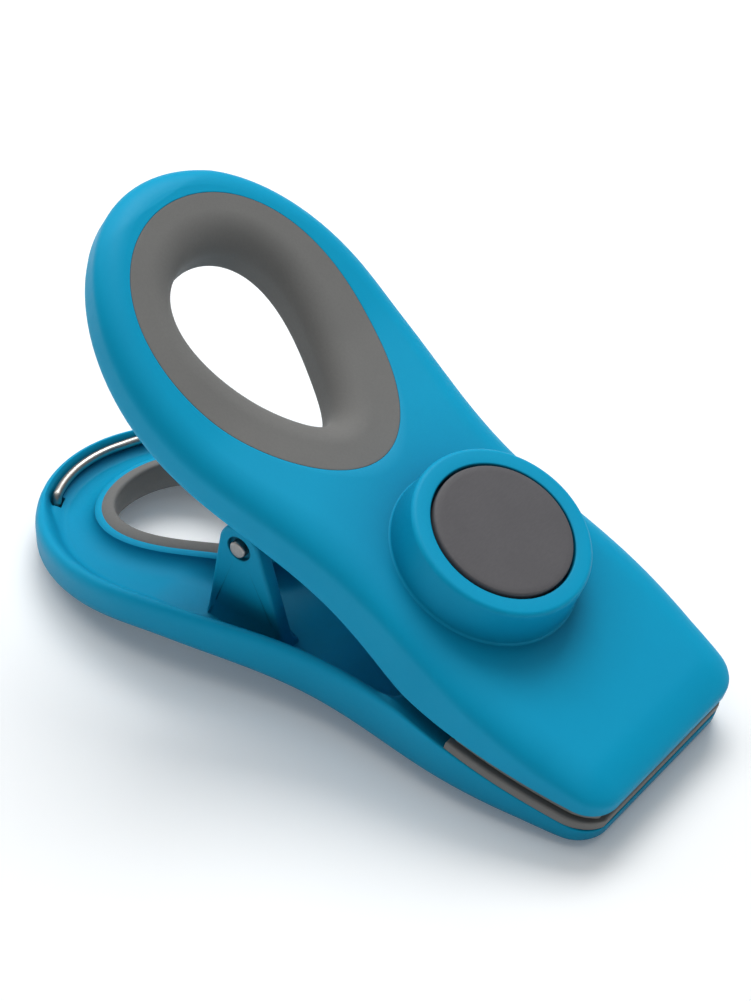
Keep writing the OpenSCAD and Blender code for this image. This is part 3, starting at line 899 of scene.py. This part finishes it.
@dataclass
class GripRing:
    """The soft ring moulded round a finger hole: a flange outside, a sleeve through, a lip inside."""

    form: ClipForm
    hole: FingerHole
    half: Half
    roll_run: float = 4.6
    roll_drop: float = 3.9
    lip_out: float = 2.2
    lip_r: float = 0.5
    lip_t: float = 1.2

    def row(self, plan: Array, height: Array | float) -> Array:
        """Points over a plan curve at a height over the outer face."""
        z = self.form.under(-plan[:, 0]) + height
        return np.column_stack([plan, z])

    def part(self) -> Part:
        """The ring's section: edge, flange, a roll into the hole, the hole's wall, the lip and its back."""
        form, hole = self.form, self.hole
        flange, edge = hole.flange(form), hole.ring(form, 0.0)
        thick = hole.collar_h + hole.lip_h
        rows = [self.row(offset(flange, -0.01), 1.2), self.row(offset(flange, -0.01), 0.1),
                self.row(offset(flange, -0.04), 0.02)]
        start = offset(flange, -0.2)
        for s in np.linspace(0.0, 1.0, 22):
            plan = start + (offset(edge, self.roll_run) - start) * s
            rows.append(self.row(plan, quarter_drop(nearest(plan, edge), self.roll_run, self.roll_drop)))
        for turn in np.radians(np.linspace(86.0, 0.0, 16)):
            plan = offset(edge, self.roll_run * (1.0 - math.cos(turn)))
            rows.append(self.row(plan, self.roll_drop * (1.0 - math.sin(turn))))
        for h in np.linspace(self.roll_drop, thick - self.lip_r, 6)[1:]:
            rows.append(self.row(edge, h))
        for a in np.radians((30.0, 60.0, 90.0)):
            plan = offset(edge, self.lip_r * (1.0 - math.cos(a)))
            rows.append(self.row(plan, thick - self.lip_r * (1.0 - math.sin(a))))
        for s in np.linspace(0.15, 1.0, 8):
            plan = offset(edge, self.lip_r + (self.lip_out - self.lip_r) * s)
            rows.append(self.row(plan, thick - 0.55 * s ** 2.4))
        sleeve, back = offset(edge, hole.sleeve_t), thick - self.lip_t
        rows += [self.row(offset(edge, self.lip_out - 0.1), back), self.row(sleeve, back),
                 self.row(sleeve, hole.flange_t - 0.1)]
        return lofted(form.place(np.stack(rows), self.half), ring=True)

    def build(self, finish: bpy.types.Material) -> bpy.types.Object:
        """The ring as a piece that rides on its half."""
        name = f"{self.half.value}_finger_ring"
        piece = make_piece(name, [self.part()], finish, crease=50.0)
        settle(piece, self.half, f"{self.half.value}_grip")
        return piece


@dataclass
class JawPad:
    """The soft pad on a jaw's inner face, with shallow grooves across it."""

    form: ClipForm
    half: Half
    step: float = 0.2
    groove_count: int = 5
    groove_w: float = 1.2
    groove_depth: float = 0.5
    groove_border: float = 3.0
    groove_side: float = 0.2
    edge_r: float = 0.35
    across: int = 72
    along: int = 150

    def part(self) -> Part:
        """A grid over the pad: u across between the two sides, v along, closed over the edge and underneath.

        A point is (u, v, h) in the closing plane's frame. h is the pad's face, dropped by a rounded edge and
        by smooth grooves, and the underside mirrors the plan at the seat.
        """
        form = self.form
        length = form.pad_len - self.step
        v = self.step + (length - self.step) * (1.0 - np.cos(np.linspace(0.0, math.pi, self.along))) / 2.0
        u = -np.cos(np.linspace(0.0, math.pi, self.across))
        corner = form.corner_r
        half_w = form.side_w(v) - self.step
        nose = np.clip((corner - v) / corner, 0.0, 1.0)
        half_w = half_w - corner * 0.82 * (1.0 - np.sqrt(1.0 - nose ** 2))
        v_grid, u_grid = np.meshgrid(v, u, indexing="ij")
        y = u_grid * half_w[:, None]
        inside = np.minimum(half_w[:, None] - np.abs(y), np.minimum(v_grid - self.step, length - v_grid))
        pitch = form.pad_len / (self.groove_count + 1)
        nearest_groove = np.clip(np.round(v_grid / pitch), 1, self.groove_count) * pitch
        half_groove, reach = self.groove_w / 2.0, form.nose_w / 2.0 - self.groove_border
        off_middle = np.abs(v_grid - nearest_groove)
        groove = 1.0 - smooth(off_middle, half_groove - self.groove_side, half_groove + self.groove_side)
        groove = groove * (1.0 - smooth(np.abs(y), reach - 0.8, reach))
        drop = quarter_drop(inside, self.edge_r, self.edge_r)
        top = -form.pad_gap - drop - self.groove_depth * groove
        bottom = np.full_like(top, -form.pad_gap - form.pad_t + 0.02)
        grid = np.stack([np.stack([-v_grid, y, top], axis=2), np.stack([-v_grid, y, bottom], axis=2)])
        c, s = math.cos(form.lean), math.sin(form.lean)
        turned = np.stack([grid[..., 0] * c + grid[..., 2] * s - form.nose_d, grid[..., 1],
                           -grid[..., 0] * s + grid[..., 2] * c + form.nose_z], axis=-1)
        points = form.place(turned, self.half)
        quads = grid_quads(self.along, self.across, False, False)
        size = self.along * self.across
        index = np.arange(size).reshape(self.along, self.across)
        border = np.concatenate([index[0, :-1], index[:-1, -1], index[-1, :0:-1], index[:0:-1, 0]])
        following = np.roll(border, -1)
        walls = np.stack([border, following, following + size, border + size], axis=1)
        faces = np.concatenate([quads[:, ::-1], quads + size, walls])
        return facing_out((points.reshape(-1, 3), faces))

    def build(self, finish: bpy.types.Material) -> bpy.types.Object:
        """The pad as a piece that rides on its half."""
        piece = make_piece(f"{self.half.value}_jaw_pad_moulding", [self.part()], finish)
        settle(piece, self.half, f"{self.half.value}_jaw_pad")
        return piece


@dataclass
class Hinge:
    """The pin and the wound spring on it."""

    form: ClipForm
    lug_y: float = 15.0
    lug_t: float = 2.4
    lug_gap: float = 0.3
    proud: float = 0.45
    pin_r: float = 1.3
    pin_edge: float = 0.25
    wire_r: float = 0.7
    coil_r: float = 3.3
    turn_gap: float = 0.08
    coil_gap: float = 0.6
    wire_gap: float = 0.05
    wall_t: float = 1.8
    leg_end: float = 21.0
    dive_depth: float = 2.4
    per_turn: int = 40
    sides: int = 16

    def pin(self, finish: bpy.types.Material) -> bpy.types.Object:
        """The pin: a rod with cropped, slightly rounded ends, turned about the hinge's axis."""
        end, r, cut = self.lug_y + self.proud, self.pin_r, self.pin_edge
        face = [[AXIS_R, end], [r * 0.5, end - 0.01]]
        cap = np.concatenate([face, arc((r - cut, end - cut), cut, 90.0, 0.0, 5)])
        profile = np.concatenate([cap, cap[::-1] * [1.0, -1.0]])
        rows = revolved(profile, 64)
        x, z = rows[..., 0] + self.form.pin_x, rows[..., 1] + self.form.pin_z
        points = np.stack([x, rows[..., 2], z], axis=-1)
        part = lofted(self.form.place(points, Half.LOWER), ring=False)
        piece = make_piece("hinge_pin_rod", [part], finish)
        settle(piece, Half.LOWER, "hinge_pin")
        return piece

    @property
    def coil_y(self) -> float:
        """Distance of the last turn's middle from the clip's middle plane."""
        return self.lug_y - 2.0 * self.lug_t - self.lug_gap - self.coil_gap - self.wire_r

    def leg_point(self, degrees: Array) -> Array:
        """Where the wire lies round the tail, beside the wall, at an angle from the tail's tip."""
        form = self.form
        inset = self.wall_t + self.wire_gap + self.wire_r
        b = np.radians(np.atleast_1d(degrees))
        d = form.handle_d + (form.tail_len - inset) * np.cos(b)
        z = form.under(d) + form.handle_floor + self.wire_gap + self.wire_r
        return np.stack([-d, (form.handle_w / 2.0 - inset) * np.sin(b), z], axis=1)

    def leg(self) -> Array:
        """The lower leg: out of its slot, round the tail, and on a cubic curve up to the coil's foot."""
        tip = self.leg_point(-self.leg_end)[0]
        run = self.leg_point(-self.leg_end - 2.0)[0] - tip
        run = run / np.linalg.norm(run)
        dive = np.linspace(1.35, 0.108, 8)[:, None]
        into = tip + 1.2 * self.wire_r * np.sin(dive) * run
        into = into - self.dive_depth * (1.0 - np.cos(dive)) * np.array([0.0, 0.0, 1.0])
        round_tail = self.leg_point(np.linspace(-self.leg_end, 89.0, 90))
        side = self.leg_point(90.0)[0]
        foot = np.array([self.form.pin_x, self.coil_y, self.form.pin_z - self.coil_r])
        p = np.stack([side, side + [5.0, 0.0, 1.5], foot + [-12.0, 0.0, -1.0], foot])
        t = np.linspace(0.0, 1.0, 40, endpoint=False)[:, None]
        rise = (1 - t) ** 3 * p[0] + 3 * t * (1 - t) ** 2 * p[1] + 3 * t * t * (1 - t) * p[2] + t ** 3 * p[3]
        return np.concatenate([into, round_tail, rise])

    def path(self) -> tuple[Array, Array]:
        """The wire's middle line, and the direction that its section is measured from.

        The coil is a helix, (r cos a, y falling evenly, r sin a). The upper leg is the lower one turned over.
        """
        form = self.form
        turns = math.floor(2.0 * self.coil_y / (2.0 * self.wire_r + self.turn_gap)
                           - (180.0 - 2.0 * form.close_angle) / 360.0)
        sweep = 360.0 * turns + 180.0 - 2.0 * form.close_angle
        share = np.linspace(0.0, 1.0, turns * self.per_turn + 1)
        a = np.radians(-90.0 + sweep * share)
        coil = np.stack([form.pin_x + self.coil_r * np.cos(a), self.coil_y * (1.0 - 2.0 * share),
                         form.pin_z + self.coil_r * np.sin(a)], axis=1)
        leg = self.leg()
        u = np.array([math.cos(form.lean), 0.0, -math.sin(form.lean)])
        nose = np.array([-form.nose_d, 0.0, form.nose_z])
        other = (leg - nose)[::-1]
        other = 2.0 * (other @ u)[:, None] * u - other + nose
        across = smooth(np.arange(len(leg)), len(leg) - 38, len(leg) - 1)[:, None]
        up = (1.0 - across) * np.array([0.0, 0.0, 1.0]) + across * np.array([0.0, 1.0, 0.0])
        n = np.array([math.sin(form.lean), 0.0, math.cos(form.lean)])
        down = (1.0 - across[::-1]) * (np.array([0.0, 0.0, 1.0]) - 2.0 * n[2] * n) * -1.0
        down = down + across[::-1] * np.array([0.0, 1.0, 0.0])
        refs = np.concatenate([up, np.tile([0.0, 1.0, 0.0], (len(coil), 1)), down])
        return np.concatenate([leg, coil, other]), refs

    def spring(self, finish: bpy.types.Material) -> bpy.types.Object:
        """The spring: a round section of the wire's radius carried along its path, with cropped ends."""
        path, refs = self.path()
        tangent = np.gradient(path, axis=0)
        tangent /= np.linalg.norm(tangent, axis=1, keepdims=True)
        first = np.cross(tangent, refs)
        first /= np.linalg.norm(first, axis=1, keepdims=True)
        second = np.cross(tangent, first)
        a = np.linspace(0.0, 2.0 * math.pi, self.sides, endpoint=False)
        ring = np.cos(a)[:, None] * first[:, None, :] + np.sin(a)[:, None] * second[:, None, :]
        tube = path[:, None, :] + self.wire_r * ring
        ends = [path[k] + 0.001 * ring[k] for k in (0, -1)]
        outwards = ((0, -0.1 * tangent[0]), (-1, 0.1 * tangent[-1]))
        cropped = [path[k] + 0.85 * self.wire_r * ring[k] + step for k, step in outwards]
        caps = [end + step for end, (_, step) in zip(ends, outwards)]
        rows = np.concatenate([caps[0][None], cropped[0][None], tube, cropped[1][None], caps[1][None]])
        part = lofted(self.form.place(rows, Half.LOWER), ring=False)
        piece = make_piece("torsion_spring_wire", [part], finish)
        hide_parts("torsion_spring")
        form = self.form
        centre = np.array([form.pin_x, 0.0, form.pin_z])
        n = np.array([math.sin(form.lean), 0.0, math.cos(form.lean)])
        reach = self.coil_r + self.wire_r
        start, end = (form.place(centre + s * reach * n, Half.LOWER) for s in (-1.0, 1.0))
        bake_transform(piece)
        LOG.info("%s: %d faces, bends from lower to upper", piece.name, len(piece.data.polygons))
        return piece


# ---------------------------------------------------------------------------------------------------------
# studio
# ---------------------------------------------------------------------------------------------------------

@dataclass(frozen=True)
class Lamp:
    """One soft square light: where it stands, how wide it is and how strong."""

    name: str
    azimuth: float
    elevation: float
    distance: float
    size: float
    power: float
    colour: str = "#FFFFFF"


@dataclass
class Studio:
    """A pale floor, soft lights and the camera."""

    target: Vector
    azimuth: float = 36.5
    elevation: float = 38.9
    roll: float = 0.4
    lens: float = 107.4
    sensor: float = 36.0
    floor_glow: float = 0.11
    surround: float = 0.23
    eye: tuple[float, float, float] = (0.1916, -0.2540, 0.2806)
    lamps: tuple[Lamp, ...] = (
        Lamp("key_softbox", 205.0, 58.0, 0.9, 0.5, 4.5),
        Lamp("left_softbox", -95.0, 42.0, 0.9, 0.6, 1.7),
        Lamp("overhead_softbox", 200.0, 78.0, 1.2, 1.7, 6.3),
    )

    def floor(self) -> None:
        """A wide plain floor in near-white paper, with a faint glow that lifts the shadow."""
        mesh = bpy.data.meshes.new("studio_floor")
        reach = 3.0
        corners = [(reach * x, reach * y, 0.0) for x, y in ((-1, -1), (1, -1), (1, 1), (-1, 1))]
        mesh.from_pydata(corners, [], [(0, 1, 2, 3)])
        paper = bpy.data.materials.new("white_paper_sweep")
        paper.use_nodes = True
        shader = paper.node_tree.nodes["Principled BSDF"]
        shader.inputs["Base Color"].default_value = linear("#FCFDFD")
        shader.inputs["Roughness"].default_value = 0.7
        shader.inputs["Specular IOR Level"].default_value = 0.2
        shader.inputs["Emission Color"].default_value = linear("#E6F3FF")
        shader.inputs["Emission Strength"].default_value = self.floor_glow
        mesh.materials.append(paper)
        floor = bpy.data.objects.new("studio_floor", mesh)
        bpy.context.scene.collection.objects.link(floor)
        floor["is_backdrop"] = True

    def light(self) -> None:
        """Area lights that look at the target, and a bright even surround."""
        for lamp in self.lamps:
            data = bpy.data.lights.new(lamp.name, "AREA")
            data.shape, data.size, data.energy = "SQUARE", lamp.size, lamp.power
            data.color = linear(lamp.colour)[:3]
            stand = bpy.data.objects.new(lamp.name, data)
            a, e = math.radians(lamp.azimuth), math.radians(lamp.elevation)
            away = Vector((math.sin(a) * math.cos(e), -math.cos(a) * math.cos(e), math.sin(e)))
            stand.location = self.target + away * lamp.distance
            stand.rotation_euler = away.to_track_quat("Z", "Y").to_euler()
            bpy.context.scene.collection.objects.link(stand)
        world = bpy.data.worlds.new("soft_white_surround")
        world.use_nodes = True
        back = world.node_tree.nodes["Background"]
        back.inputs[0].default_value = linear("#FFFFFF")
        back.inputs[1].default_value = self.surround
        bpy.context.scene.world = world

    def camera(self) -> None:
        """A long lens at a three-quarter angle from above."""
        data = bpy.data.cameras.new("product_camera")
        data.lens, data.sensor_width = self.lens, self.sensor
        data.clip_start = 0.01
        shot = bpy.data.objects.new("product_camera", data)
        shot.location = self.eye
        turn = Euler((math.radians(90.0 - self.elevation), 0.0, math.radians(self.azimuth)))
        roll = Euler((0.0, 0.0, math.radians(self.roll)))
        shot.rotation_euler = (turn.to_matrix() @ roll.to_matrix()).to_euler()
        bpy.context.scene.collection.objects.link(shot)
        bpy.context.scene.camera = shot

    def build(self) -> None:
        """Sets up the whole studio, with colours shown as they are."""
        self.floor()
        self.light()
        self.camera()
        bpy.context.scene.view_settings.view_transform = "Standard"


def dress(node: str, finish: bpy.types.Material) -> None:
    """Gives a CAD node that stays in view its finish."""
    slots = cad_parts[node].data.materials
    slots.clear()
    slots.append(finish)
    LOG.info("%s: kept from CAD, dressed as %s", node, finish.name)


def main() -> None:
    """Builds every piece of the clip, half by half, and then the studio."""
    logging.basicConfig(level=logging.INFO, format="%(name)s %(message)s")
    cad_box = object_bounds()
    form, hole = ClipForm.from_frame(), FingerHole()
    plastic, rubber, ferrite = SHELL_PLASTIC.build(), GRIP_RUBBER.build(), FERRITE.build()
    hinge = Hinge(form)
    boss = MagnetBoss(form)
    HalfShell(form, hole, Half.LOWER, lug_y=hinge.lug_y).build(plastic)
    UpperShell(form, hole, Half.UPPER, lug_y=hinge.lug_y - hinge.lug_t - hinge.lug_gap, bore_r=1.36,
               boss=boss).build(plastic)
    boss.build(ferrite)
    for half in Half:
        GripRing(form, hole, half).build(rubber)
        JawPad(form, half, step=0.2 if half is Half.LOWER else 1.0).build(rubber)
    hinge.pin(PIN_STEEL.build())
    hinge.spring(SPRING_WIRE.build())
    dress("magnet_adhesive", EPOXY.build())
    low, high = cad_box
    Studio(target=(Vector(low) + Vector(high)) / 2.0).build()


if __name__ == "__main__":
    main()
